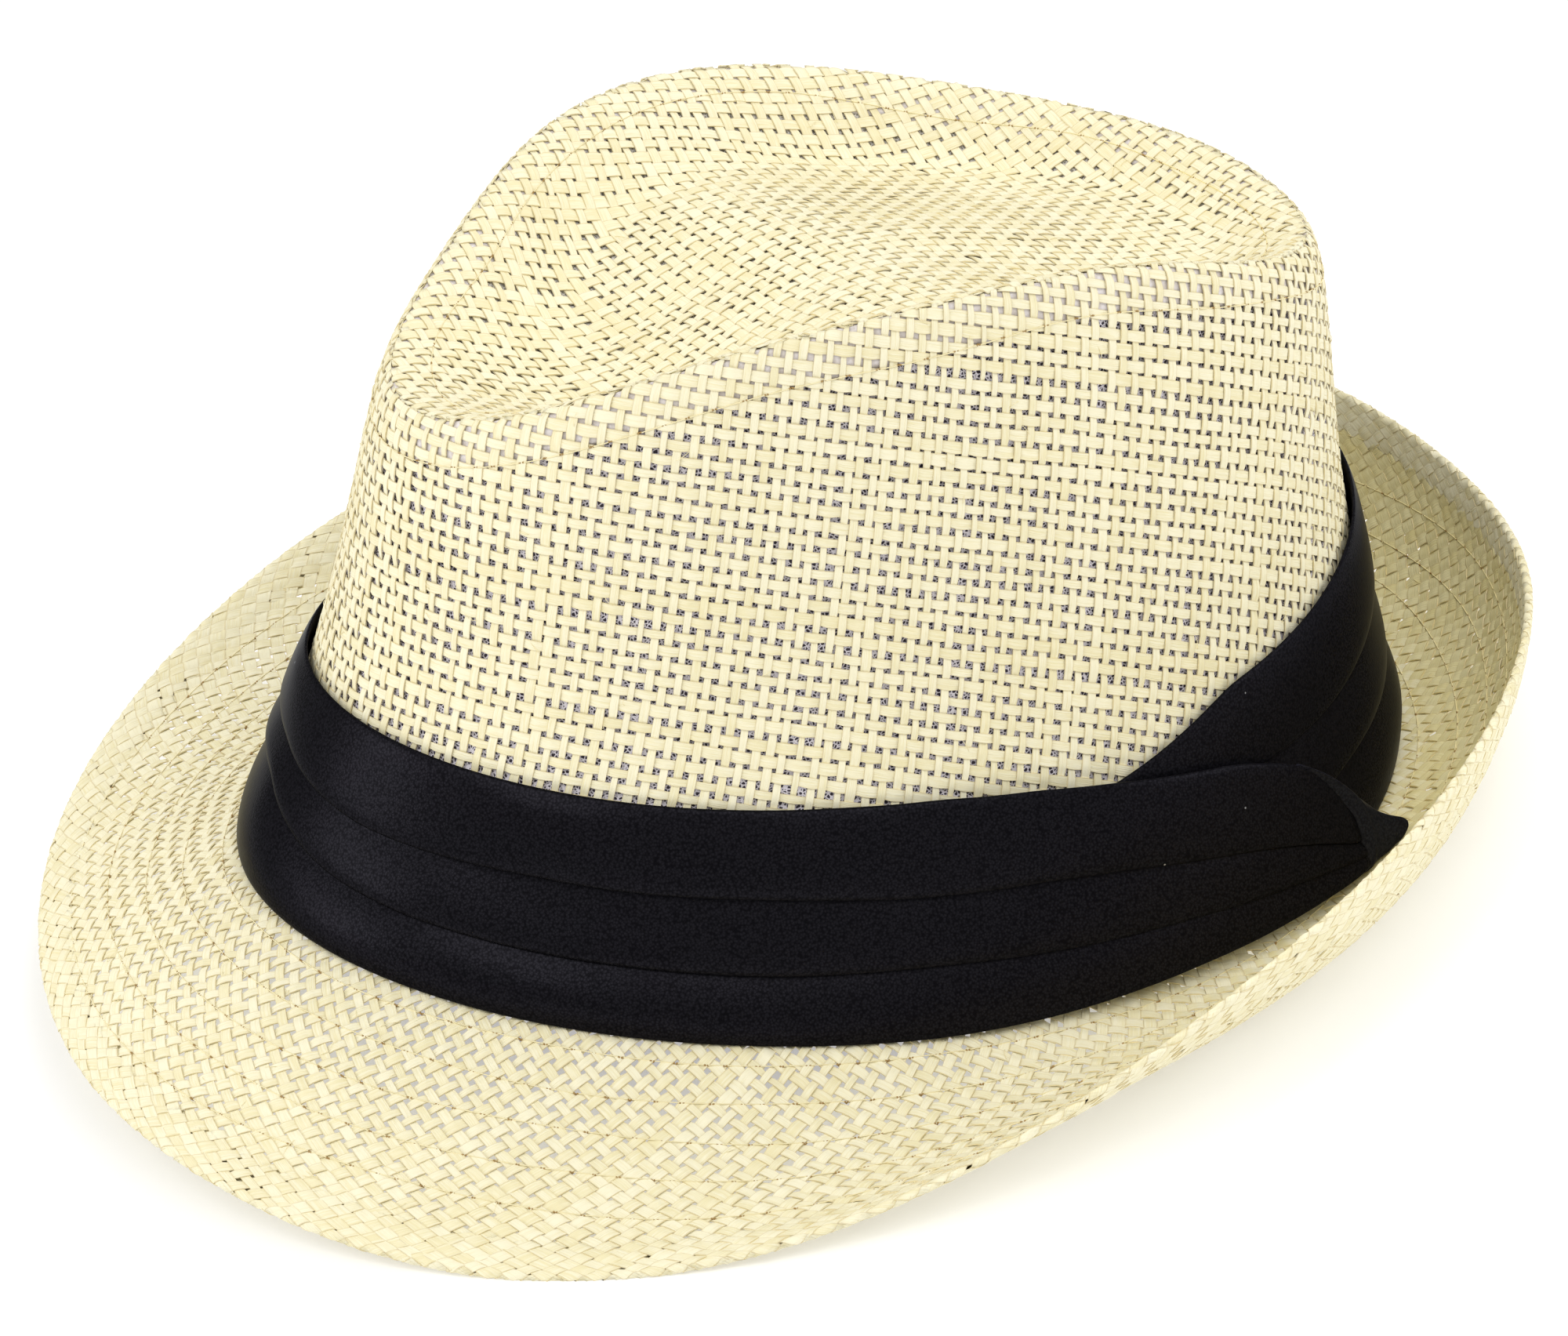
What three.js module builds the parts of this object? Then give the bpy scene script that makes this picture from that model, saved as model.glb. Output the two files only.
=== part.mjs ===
// A short-brimmed straw fedora: a woven crown sewn from a side wall and a dented top,
// a woven brim with a folded rim, a net lining, and a pleated black satin band that is
// gathered into a small knot. Millimetres, +Z up, front of the hat towards -Y,
// the wearer's left side towards +X. The hat stands on its own brim at z = 0.
import * as THREE from 'three';

// ---- driving dimensions, in the hat's own plane (before it settles on a table) ----
const HEAD_HALF_LENGTH = 103.0;   // half the length of the oval at the foot of the band
const HEAD_HALF_WIDTH = 83.7;     // half its width
const HEAD_EGG = 0.0753;          // how much wider the oval is behind the middle
const BASE_FRONT_BACK = -1.46;    // height of the foot: front-to-back part
const BASE_SADDLE = 4.22;         // height of the foot: saddle part
const BAND_HEIGHT = 38.9;         // mean height of the band's top edge
const BAND_TOP_FRONT_BACK = -5.88;
const BAND_TOP_SADDLE = 4.77;
const BAND_TOP_INSET = 10.35;     // how far the top edge leans in from the foot
const BAND_TOP_SHIFT = 2.7;       // how far the top edge's middle lies behind the foot's
const STRAW = 1.2;                // thickness of the woven straw
const NET = 1.0;                  // thickness of the net lining
const GAP = 0.3;                  // clearance between neighbouring pieces
const CROWN_INSET_FOOT = 2.6;     // crown wall inside the band's outer face at the foot
const CROWN_INSET_BAND_TOP = 1.4; // and at the band's top edge
const BRIM_MARGIN = 6.2;          // brim cloth that runs in under the crown wall
const RIM_THICK = 2.0;            // thickness of the folded rim
const CENTRE = new THREE.Vector3(0, 8, 99); // middle of the dented top
const STEPS = 54;                 // facets around the hat
const REST_TILT_DEG = 7.8;       // the hat leans back until brim edge and foot both touch
const REST_LIFT = 9.65;           // height of the hat's own plane above the table
const REST_SHIFT = [1.153, 3.969]; // brings the middle of the brim over the origin

// One row for every 30 degrees, counted from the front through the wearer's left:
// ridge width and height, dent's crease width and height, brim width, rim height,
// brim's slope at the crown and at the rim (degrees).
const COLS = ['ridge', 'ridgeZ', 'crease', 'creaseZ', 'brim', 'rimZ', 'slopeIn', 'slopeOut'];
const ROWS = [
  [0.73, 90.7, 0.45, 83, 35.7, -17.7, -24, -32],
  [0.74, 96.4, 0.45, 86, 40.4, -20.6, -26, -26],
  [0.72, 109.3, 0.46, 96, 41.9, -18.8, -27, -8],
  [0.72, 115.3, 0.48, 101, 38.5, 11.0, -24, 64],
  [0.74, 110.6, 0.52, 98, 28.1, 30.3, -8, 86],
  [0.82, 98.9, 0.60, 91, 21.4, 33.0, 6, 86],
  [0.82, 97.0, 0.66, 90, 24.1, 30.3, 8, 78],
  [0.80, 98.1, 0.66, 89.5, 30.2, 31.6, 5, 75],
  [0.76, 103.6, 0.60, 92, 36.3, 25.3, 0, 65],
  [0.73, 108.8, 0.50, 97, 41.4, 16.0, -5, 50],
  [0.66, 105.1, 0.46, 93, 41.6, -0.6, -14, 20],
  [0.66, 95.8, 0.42, 86, 37.1, -12.6, -22, -16],
];
const DEG = Math.PI / 180;

// smooth periodic curve through one column of the table
function column(name) {
  const values = ROWS.map((row) => row[COLS.indexOf(name)]);
  const n = values.length;
  const terms = [];
  for (let m = 0; m <= n / 2; m += 1) {
    const weight = (m === 0 || m === n / 2 ? 1 : 2) / n;
    let a = 0;
    let b = 0;
    values.forEach((v, j) => {
      a += weight * v * Math.cos((2 * Math.PI * m * j) / n);
      b += weight * v * Math.sin((2 * Math.PI * m * j) / n);
    });
    terms.push([a, b]);
  }
  return (t) => terms.reduce((sum, [a, b], m) => sum + a * Math.cos(m * t) + b * Math.sin(m * t), 0);
}
const AT = Object.fromEntries(COLS.map((name) => [name, column(name)]));

function smooth(x) {
  const c = Math.min(1, Math.max(0, x));
  return c * c * (3 - 2 * c);
}

// the head oval; t = 0 at the front, growing towards the wearer's left
function oval(t, inset, shift, z) {
  const x = (HEAD_HALF_WIDTH - inset) * Math.sin(t) * (1 - HEAD_EGG * Math.cos(t));
  const y = shift - (HEAD_HALF_LENGTH - inset) * Math.cos(t);
  return new THREE.Vector3(x, y, z);
}
function outward(t) {
  const p = oval(t, 0, 0, 0);
  return p.normalize();
}
function footZ(t) {
  return BASE_FRONT_BACK * Math.cos(t) + BASE_SADDLE * Math.cos(2 * t);
}
function bandTopZ(t) {
  return BAND_HEIGHT + BAND_TOP_FRONT_BACK * Math.cos(t) + BAND_TOP_SADDLE * Math.cos(2 * t);
}
function foot(t, inset) {
  return oval(t, inset, 0, footZ(t));
}
function bandTop(t, inset) {
  return oval(t, BAND_TOP_INSET + inset, BAND_TOP_SHIFT, bandTopZ(t));
}
function ridge(t) {
  const p = oval(t, 0, 0, 0).multiplyScalar(AT.ridge(t));
  return p.setZ(AT.ridgeZ(t));
}
function polar(t, slope, length) {
  return outward(t).multiplyScalar(Math.cos(slope) * length).setZ(Math.sin(slope) * length);
}

// ---- the three surfaces of the hat ----
const BAND_SHARE = 0.36;          // part of the wall's parameter that the band covers
const WALL_LEAN = 0.40;           // how far the wall keeps the band's lean
const RIDGE_ROUND = 4.6;          // roundness of the ridge
const RIDGE_DROP = 0.9;

// crown wall: s = 0 at the foot, 1 on the ridge
function wall(t, s) {
  const low = foot(t, CROWN_INSET_FOOT);
  const high = bandTop(t, CROWN_INSET_BAND_TOP);
  if (s <= BAND_SHARE) return low.lerp(high, s / BAND_SHARE);
  const top = ridge(t);
  const lean = high.clone().sub(low).normalize().multiplyScalar(top.distanceTo(high) * WALL_LEAN);
  const shoulder = top.clone().add(outward(t).multiplyScalar(RIDGE_ROUND));
  shoulder.z -= RIDGE_DROP;
  const curve = new THREE.CubicBezierCurve3(high, high.clone().add(lean), shoulder, top);
  return curve.getPoint((s - BAND_SHARE) / (1 - BAND_SHARE));
}
// dented top: q = 1 on the ridge, 0 in the middle
function dent(t, q) {
  const edge = ridge(t);
  const crease = AT.crease(t) / AT.ridge(t);
  const creaseZ = AT.creaseZ(t);
  const p = CENTRE.clone().lerp(edge, q);
  if (q > crease) {
    p.z = THREE.MathUtils.lerp(edge.z, creaseZ, smooth((1 - q) / (1 - crease)));
  } else {
    p.z = THREE.MathUtils.lerp(creaseZ, CENTRE.z, smooth((crease - q) / crease));
  }
  return p;
}
// brim: s = 0 at the crown, 1 at the rim
const BRIM_PULL = 0.38;
function brim(t, s) {
  const start = foot(t, 0);
  const end = start.clone().add(outward(t).multiplyScalar(AT.brim(t))).setZ(AT.rimZ(t));
  const reach = start.distanceTo(end) * BRIM_PULL;
  const first = start.clone().add(polar(t, AT.slopeIn(t) * DEG, reach));
  const last = end.clone().sub(polar(t, AT.slopeOut(t) * DEG, reach));
  return new THREE.CubicBezierCurve3(start, first, last, end).getPoint(s);
}
// the same surface moved along its own normal; `up` is the sign that points out of the hat
const NUDGE = 1e-3;
function offset(surface, up, t, s, distance) {
  const here = surface(t, s);
  const alongT = surface(t + NUDGE, s).sub(surface(t - NUDGE, s));
  const s0 = Math.max(0, s - NUDGE);
  const s1 = Math.min(1, s + NUDGE);
  const alongS = surface(t, s1).sub(surface(t, s0));
  const normal = alongT.cross(alongS).normalize().multiplyScalar(up);
  return here.add(normal.multiplyScalar(distance));
}
function below(p, distance) {
  return p.clone().setZ(p.z - distance);
}
const OUT_OF_WALL = 1;
const OUT_OF_DENT = -1;
const OUT_OF_BRIM = -1;

// ---- from the hat's own plane to the table: lean back, lift, and flatten where it touches ----
function settle(p) {
  const a = REST_TILT_DEG * DEG;
  const y = p.y * Math.cos(a) + p.z * Math.sin(a);
  const z = -p.y * Math.sin(a) + p.z * Math.cos(a) + REST_LIFT;
  return new THREE.Vector3(p.x + REST_SHIFT[0], y + REST_SHIFT[1], Math.max(0, z));
}

// ---- closed solids from rings of points ----
function solid(rings, { closed, capped }) {
  const positions = [];
  const index = [];
  const n = rings[0].length;
  rings.flat().forEach((p) => positions.push(...settle(p).toArray()));
  const at = (i, j) => (i % rings.length) * n + (j % n);
  const last = closed ? rings.length : rings.length - 1;
  for (let i = 0; i < last; i += 1) {
    for (let j = 0; j < n; j += 1) {
      index.push(at(i, j), at(i + 1, j), at(i + 1, j + 1));
      index.push(at(i, j), at(i + 1, j + 1), at(i, j + 1));
    }
  }
  if (capped) {
    [[0, 1], [rings.length - 1, -1]].forEach(([i, side]) => {
      const middle = positions.length / 3;
      const centre = rings[i].reduce((sum, p) => sum.add(p), new THREE.Vector3());
      positions.push(...settle(centre.divideScalar(n)).toArray());
      for (let j = 0; j < n; j += 1) {
        if (side > 0) index.push(middle, at(i, j), at(i, j + 1));
        else index.push(middle, at(i, j + 1), at(i, j));
      }
    });
  }
  const geometry = new THREE.BufferGeometry();
  geometry.setAttribute('position', new THREE.Float32BufferAttribute(positions, 3));
  geometry.setIndex(index);
  return geometry;
}
// a band of cloth all round the hat: every section is a closed loop of points
function ringSolid(section, steps) {
  const rings = [];
  for (let i = 0; i < steps; i += 1) rings.push(section((2 * Math.PI * i) / steps));
  return solid(rings, { closed: true, capped: false });
}
// a bowl of cloth with a middle: rings run from the top middle over the edge to the lower middle
function bowlSolid(profile, steps) {
  const rings = profile.map((point) => {
    const ring = [];
    for (let j = 0; j < steps; j += 1) ring.push(point((2 * Math.PI * j) / steps));
    return ring;
  });
  return solid(rings, { closed: false, capped: true });
}
function spread(from, to, count) {
  return Array.from({ length: count }, (_, i) => from + ((to - from) * i) / (count - 1));
}

// ---- the pieces ----
const parts = new THREE.Group();
function add(name, geometry, color, roughness) {
  const material = new THREE.MeshStandardMaterial({ color, roughness, metalness: 0 });
  geometry.computeVertexNormals();
  const mesh = new THREE.Mesh(geometry, material);
  mesh.name = name;
  parts.add(mesh);
}
const STRAW_COLOUR = 0xf3e6b4;
const NET_COLOUR = 0xb9b4c4;
const SATIN_COLOUR = 0x08080c;

// crown wall, standing just above the brim's inner margin
const WALL_LEVELS = [0, 0.36, 0.60, 0.80, 0.91, 1];
function wallSection(t) {
  const outside = WALL_LEVELS.map((s) => wall(t, s));
  const inside = WALL_LEVELS.slice(0, -1).map((s) => offset(wall, OUT_OF_WALL, t, s, -STRAW));
  const loop = [...outside, below(ridge(t), STRAW), ...inside.reverse()];
  [0, loop.length - 1].forEach((i) => loop[i].setZ(footZ(t) + GAP));
  return loop;
}
add('crown_side', ringSolid(wallSection, STEPS), STRAW_COLOUR, 0.75);

// dented top, sewn to the wall along the ridge
const DENT_EDGE = 0.994;
const DENT_LEVELS = [0.20, 0.45, 0.62, 0.74, 0.87, DENT_EDGE];
const dentProfile = [
  ...DENT_LEVELS.map((q) => (t) => dent(t, q)),
  (t) => below(dent(t, DENT_EDGE), STRAW),
  ...DENT_LEVELS.slice(0, -1).reverse().map((q) => (t) => offset(dent, OUT_OF_DENT, t, q, -STRAW)),
];
add('crown_top', bowlSolid(dentProfile, STEPS), STRAW_COLOUR, 0.75);

// net lining, one bag that follows the wall and the dented top from inside
const LINING_CLEAR = 0.7;         // the net hangs a little clear of the straw
const LINING_OUT = -(STRAW + LINING_CLEAR);
const LINING_IN = LINING_OUT - NET;
const LINING_WALL = WALL_LEVELS.slice(1, -1).reverse();
const LINING_DENT = DENT_LEVELS.slice(0, -1);
function liningRim(t, distance) {
  return offset(wall, OUT_OF_WALL, t, 0, distance).setZ(footZ(t) + GAP);
}
function liningFace(distance) {
  return [
    ...LINING_DENT.map((q) => (t) => offset(dent, OUT_OF_DENT, t, q, distance)),
    (t) => below(ridge(t), -distance),
    ...LINING_WALL.map((s) => (t) => offset(wall, OUT_OF_WALL, t, s, distance)),
    (t) => liningRim(t, distance),
  ];
}
const liningProfile = [...liningFace(LINING_OUT), ...liningFace(LINING_IN).reverse()];
add('crown_lining', bowlSolid(liningProfile, STEPS), NET_COLOUR, 0.9);

// brim cloth: a flat margin under the crown, then the rolled brim up to the rim
const RIM_START = 0.856;
const RIM_SEAM = 0.007;
const BRIM_END = RIM_START - RIM_SEAM;
const BRIM_LEVELS = [0, 0.2, 0.4, 0.58, 0.74, BRIM_END];
function brimSection(t) {
  const above = BRIM_LEVELS.map((s) => brim(t, s));
  const below = BRIM_LEVELS.map((s) => offset(brim, OUT_OF_BRIM, t, s, -STRAW)).reverse();
  const marginAbove = foot(t, BRIM_MARGIN);
  const marginBelow = foot(t, BRIM_MARGIN).setZ(footZ(t) - STRAW);
  return [marginBelow, marginAbove, ...above, ...below].reverse();
}
add('brim', ringSolid(brimSection, STEPS), STRAW_COLOUR, 0.75);

// folded rim, thicker than the brim cloth it continues
const RIM_PROUD = (RIM_THICK - STRAW) / 2;
const RIM_SHOULDER = 0.90;
const RIM_NOSE = 0.98;
function rimSection(t) {
  const at = (s, d) => offset(brim, OUT_OF_BRIM, t, s, d);
  return [
    at(RIM_START, 0),
    at(RIM_SHOULDER, RIM_PROUD),
    at(RIM_NOSE, RIM_PROUD),
    at(1, -STRAW / 2),
    at(RIM_NOSE, -STRAW - RIM_PROUD),
    at(RIM_SHOULDER, -STRAW - RIM_PROUD),
    at(RIM_START, -STRAW),
  ].reverse();
}
add('brim_edge', ringSolid(rimSection, STEPS), STRAW_COLOUR, 0.7);

// satin band: one pleated strip wound once round the crown. It starts on the wearer's left,
// goes round by the back, and its gathered end lies over its own start.
const SATIN_FOOT = CROWN_INSET_FOOT - GAP;      // thickness at the lower edge
const SATIN_TOP = CROWN_INSET_BAND_TOP - GAP;   // and at the upper edge
const BAND_START = 98;                          // degrees round the hat
const BAND_END = 484.2;
const BAND_SECTIONS = 72;
// outer face of the three pleats: share of the height, stand-out
const PLEATS = [
  [0, 0.3], [0.04, 1.2], [0.14, 1.9], [0.25, 1.3], [0.30, 0.7], [0.34, 0.7],
  [0.50, 0.2], [0.64, 0.5], [1, 0.1],
];
// along the strip, in degrees: share of the height at the top edge, lift of the lower
// edge off the brim, stand-off of the lower and the upper edge, depth of the pleats
const STRIP = [
  [98, 0.84, 0, 0, 0, 0],
  [104, 0.89, 0, 0, 0, 0.1],
  [115, 1.00, 0, 0, 0, 0.3],
  [145, 1.00, 0, 0, 0, 1],
  [420, 1.00, 0, 0, 0, 1],
  [430, 1.00, 0, 0.2, 0.2, 1],
  [440, 0.99, 0.2, 1.0, 0.8, 1],
  [450, 0.95, 1.0, 2.0, 1.8, 1],
  [458, 0.89, 2.0, 3.0, 2.7, 1],
  [465, 0.82, 2.3, 3.3, 2.9, 0.9],
  [475, 0.68, 2.2, 4.4, 3.3, 0.8],
  [484.2, 0.46, 2.0, 6.4, 4.0, 0.6],
];
function along(table, at, col) {
  const next = table.findIndex((row) => row[0] >= at);
  if (next <= 0) return table[Math.max(0, next)][col];
  const [from, to] = [table[next - 1], table[next]];
  return THREE.MathUtils.mapLinear(at, from[0], to[0], from[col], to[col]);
}
function bandPoint(degrees, height, standOut) {
  const t = degrees * DEG;
  const [share, lift, offFoot, offTop] = [1, 2, 3, 4].map((col) => along(STRIP, degrees, col));
  const low = foot(t, 0);
  low.z += GAP;
  const p = low.lerp(bandTop(t, 0), height * share);
  const off = THREE.MathUtils.lerp(offFoot, offTop, height) + standOut;
  p.add(outward(t).multiplyScalar(off));
  p.z += lift * (1 - height);
  return p;
}
function bandSection(degrees) {
  const depth = along(STRIP, degrees, 5);
  const share = along(STRIP, degrees, 1);
  const topThick = THREE.MathUtils.lerp(SATIN_FOOT, SATIN_TOP, share);
  return [
    ...PLEATS.map(([height, out]) => bandPoint(degrees, height, out * depth)),
    bandPoint(degrees, 1, -topThick),
    bandPoint(degrees, 0, -SATIN_FOOT),
  ];
}
const bandRings = spread(BAND_START, BAND_END, BAND_SECTIONS).map(bandSection);
add('band', solid(bandRings, { closed: false, capped: true }), SATIN_COLOUR, 0.45);

// knot: the satin wrap over the gathered end, drawn out to a blunt point.
// degrees round the hat, middle's stand-off and height, half thickness, half height, lean
const KNOT = [
  [124.6, 4.2, 10.2, 2.0, 8.2, 24],
  [125.4, 4.4, 10.0, 2.8, 8.4, 24],
  [126.6, 4.6, 9.2, 3.1, 7.4, 20],
  [128.0, 5.3, 7.8, 2.7, 6.0, 16],
  [129.2, 6.3, 6.6, 2.0, 4.2, 12],
  [130.4, 7.6, 5.6, 1.5, 2.7, 8],
  [131.4, 8.8, 5.0, 0.9, 1.4, 0],
];
const KNOT_SIDES = 12;
const knotRings = KNOT.map(([degrees, off, up, thick, tall, lean]) => {
  const t = degrees * DEG;
  return spread(0, 2 * Math.PI, KNOT_SIDES + 1).slice(0, -1).map((a) => {
    const across = thick * Math.cos(a);
    const height = tall * Math.sin(a);
    const d = off + across * Math.cos(lean * DEG) - height * Math.sin(lean * DEG);
    const z = up + height * Math.cos(lean * DEG) + across * Math.sin(lean * DEG);
    const share = z / (bandTopZ(t) - footZ(t));
    const p = foot(t, 0).lerp(bandTop(t, 0), share);
    return p.add(outward(t).multiplyScalar(d + BAND_TOP_INSET * share));
  });
});
add('band_knot', solid(knotRings, { closed: false, capped: true }), SATIN_COLOUR, 0.45);

export default parts;
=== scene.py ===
"""A short-brimmed straw fedora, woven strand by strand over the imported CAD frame.

Lengths are millimetres in the hat's own plane until settle() puts them on the table;
angles t start at the front (-Y) and grow towards the wearer's left (+X).
"""
import math
import bpy
import numpy as np
from mathutils import Matrix, Vector


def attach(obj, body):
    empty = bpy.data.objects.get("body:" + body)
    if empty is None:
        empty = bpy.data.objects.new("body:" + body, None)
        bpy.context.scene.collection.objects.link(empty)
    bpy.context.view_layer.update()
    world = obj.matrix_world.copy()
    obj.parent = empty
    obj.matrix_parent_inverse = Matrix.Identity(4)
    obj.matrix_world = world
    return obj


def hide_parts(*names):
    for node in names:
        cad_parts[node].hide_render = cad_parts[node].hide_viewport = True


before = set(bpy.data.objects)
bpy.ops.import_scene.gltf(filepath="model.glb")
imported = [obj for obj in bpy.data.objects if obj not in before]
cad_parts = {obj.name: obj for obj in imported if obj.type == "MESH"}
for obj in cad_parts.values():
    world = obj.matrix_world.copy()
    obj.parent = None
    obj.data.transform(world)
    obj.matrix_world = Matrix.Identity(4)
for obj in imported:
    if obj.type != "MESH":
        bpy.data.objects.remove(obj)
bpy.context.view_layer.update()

# ---- the hat's shape, the same dimensions as the CAD's ----
HALF_LENGTH, HALF_WIDTH, EGG = 103.0, 83.7, 0.0753
FOOT_FRONT_BACK, FOOT_SADDLE = -1.46, 4.22
BAND_TOP_HEIGHT, BAND_TOP_FRONT_BACK, BAND_TOP_SADDLE = 38.9, -5.88, 4.77
BAND_TOP_INSET, BAND_TOP_SHIFT = 10.35, 2.7
CROWN_INSET_FOOT, CROWN_INSET_BAND_TOP = 2.6, 1.4
CENTRE = np.array([0.0, 8.0, 99.0])
REST_TILT = math.radians(7.8)
REST_LIFT = 9.65
REST_SHIFT = (1.153, 3.969)
GAP = 0.3
TABLE_CLEAR = 0.03         # nothing comes nearer to the table than this
# one row for every 30 degrees: ridge width and height, crease width and height,
# brim width, rim height, brim slope at the crown and at the rim
ROWS = np.array([
    [0.73, 90.7, 0.45, 83, 35.7, -17.7, -24, -32],
    [0.74, 96.4, 0.45, 86, 40.4, -20.6, -26, -26],
    [0.72, 109.3, 0.46, 96, 41.9, -18.8, -27, -8],
    [0.72, 115.3, 0.48, 101, 38.5, 11.0, -24, 64],
    [0.74, 110.6, 0.52, 98, 28.1, 30.3, -8, 86],
    [0.82, 98.9, 0.60, 91, 21.4, 33.0, 6, 86],
    [0.82, 97.0, 0.66, 90, 24.1, 30.3, 8, 78],
    [0.80, 98.1, 0.66, 89.5, 30.2, 31.6, 5, 75],
    [0.76, 103.6, 0.60, 92, 36.3, 25.3, 0, 65],
    [0.73, 108.8, 0.50, 97, 41.4, 16.0, -5, 50],
    [0.66, 105.1, 0.46, 93, 41.6, -0.6, -14, 20],
    [0.66, 95.8, 0.42, 86, 37.1, -12.6, -22, -16],
])
RIDGE, RIDGE_Z, CREASE, CREASE_Z, BRIM_WIDTH, RIM_Z, SLOPE_IN, SLOPE_OUT = range(8)
BAND_SHARE, WALL_LEAN, RIDGE_ROUND, RIDGE_DROP, BRIM_PULL = 0.36, 0.40, 4.6, 0.9, 0.38


def through_rows(k, t):
    """Smooth periodic curve through one column of ROWS."""
    values = ROWS[:, k]
    n = len(values)
    at = 2 * np.pi * np.arange(n) / n
    total = np.full(np.shape(t), values.mean())
    for m in range(1, n // 2 + 1):
        weight = (1 if m == n // 2 else 2) / n
        total = total + weight * (values * np.cos(m * at)).sum() * np.cos(m * t)
        total = total + weight * (values * np.sin(m * at)).sum() * np.sin(m * t)
    return total


TABLE_T = np.linspace(0, 2 * np.pi, 2881)
TABLE = [through_rows(k, TABLE_T) for k in range(ROWS.shape[1])]


def column(k, t):
    return np.interp(np.asarray(t) % (2 * np.pi), TABLE_T, TABLE[k])


def smooth(x):
    c = np.clip(x, 0, 1)
    return c * c * (3 - 2 * c)


def oval(t, inset=0.0, shift=0.0, z=0.0):
    x = (HALF_WIDTH - inset) * np.sin(t) * (1 - EGG * np.cos(t))
    y = shift - (HALF_LENGTH - inset) * np.cos(t)
    return np.stack([x, y, np.broadcast_to(z, np.shape(x))], -1)


def unit(v):
    return v / np.maximum(np.linalg.norm(v, axis=-1, keepdims=True), 1e-9)


def outward(t):
    return unit(oval(t))


def foot_z(t):
    return FOOT_FRONT_BACK * np.cos(t) + FOOT_SADDLE * np.cos(2 * t)


def band_top_z(t):
    sway = BAND_TOP_FRONT_BACK * np.cos(t) + BAND_TOP_SADDLE * np.cos(2 * t)
    return BAND_TOP_HEIGHT + sway


def foot(t, inset=0.0):
    return oval(t, inset, 0.0, foot_z(t))


def band_top(t, inset=0.0):
    return oval(t, BAND_TOP_INSET + inset, BAND_TOP_SHIFT, band_top_z(t))


def ridge(t):
    p = oval(t) * column(RIDGE, t)[..., None]
    p[..., 2] = column(RIDGE_Z, t)
    return p


def bezier(a, b, c, d, x):
    x = np.asarray(x)[..., None]
    y = 1 - x
    return a * y**3 + 3 * b * x * y * y + 3 * c * x * x * y + d * x**3


def wall(t, s):
    """Crown wall: s = 0 at the foot, 1 on the ridge."""
    t, s = np.broadcast_arrays(t, s)
    low, high, top = foot(t, CROWN_INSET_FOOT), band_top(t, CROWN_INSET_BAND_TOP), ridge(t)
    reach = np.linalg.norm(top - high, axis=-1, keepdims=True) * WALL_LEAN
    shoulder = top + outward(t) * RIDGE_ROUND - np.array([0, 0, RIDGE_DROP])
    rise = np.clip((s - BAND_SHARE) / (1 - BAND_SHARE), 0, 1)
    upper = bezier(high, high + unit(high - low) * reach, shoulder, top, rise)
    lower = low + (high - low) * np.clip(s / BAND_SHARE, 0, 1)[..., None]
    return np.where((s < BAND_SHARE)[..., None], lower, upper)


def dent(t, q):
    """Dented top: q = 1 on the ridge, 0 in the middle."""
    t, q = np.broadcast_arrays(t, q)
    edge = ridge(t)
    crease = column(CREASE, t) / column(RIDGE, t)
    crease_z = column(CREASE_Z, t)
    p = CENTRE + (edge - CENTRE) * q[..., None]
    outer = edge[..., 2] + (crease_z - edge[..., 2]) * smooth((1 - q) / (1 - crease))
    inner = crease_z + (CENTRE[2] - crease_z) * smooth((crease - q) / crease)
    p[..., 2] = np.where(q > crease, outer, inner)
    return p


def brim(t, s):
    """Brim: s = 0 at the crown, 1 at the rim."""
    t, s = np.broadcast_arrays(t, s)
    start = foot(t)
    end = start + outward(t) * column(BRIM_WIDTH, t)[..., None]
    end[..., 2] = column(RIM_Z, t)
    reach = np.linalg.norm(end - start, axis=-1) * BRIM_PULL

    def arm(angle):
        flat = outward(t) * (np.cos(angle) * reach)[..., None]
        flat[..., 2] = np.sin(angle) * reach
        return flat

    first = start + arm(np.radians(column(SLOPE_IN, t)))
    last = end - arm(np.radians(column(SLOPE_OUT, t)))
    return bezier(start, first, last, end, s)


def normal(surface, sign, t, s):
    """Unit normal that points out of the hat."""
    e = 1e-3
    along_t = surface(t + e, s) - surface(t - e, s)
    along_s = surface(t, np.minimum(1, s + e)) - surface(t, np.maximum(0, s - e))
    return unit(np.cross(along_t, along_s)) * sign


OUT_OF_WALL, OUT_OF_DENT, OUT_OF_BRIM = 1, -1, -1


def offset(surface, sign, t, s, distance):
    t, s = np.broadcast_arrays(np.asarray(t, float), np.asarray(s, float))
    return surface(t, s) + normal(surface, sign, t, s) * np.asarray(distance)[..., None]


def settle(p):
    """From the hat's own plane to the table, in metres."""
    p = np.asarray(p, float)
    c, s = math.cos(REST_TILT), math.sin(REST_TILT)
    y = p[..., 1] * c + p[..., 2] * s + REST_SHIFT[1]
    z = -p[..., 1] * s + p[..., 2] * c + REST_LIFT
    return np.stack([p[..., 0] + REST_SHIFT[0], y, np.maximum(z, TABLE_CLEAR)], -1) / 1000


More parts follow.
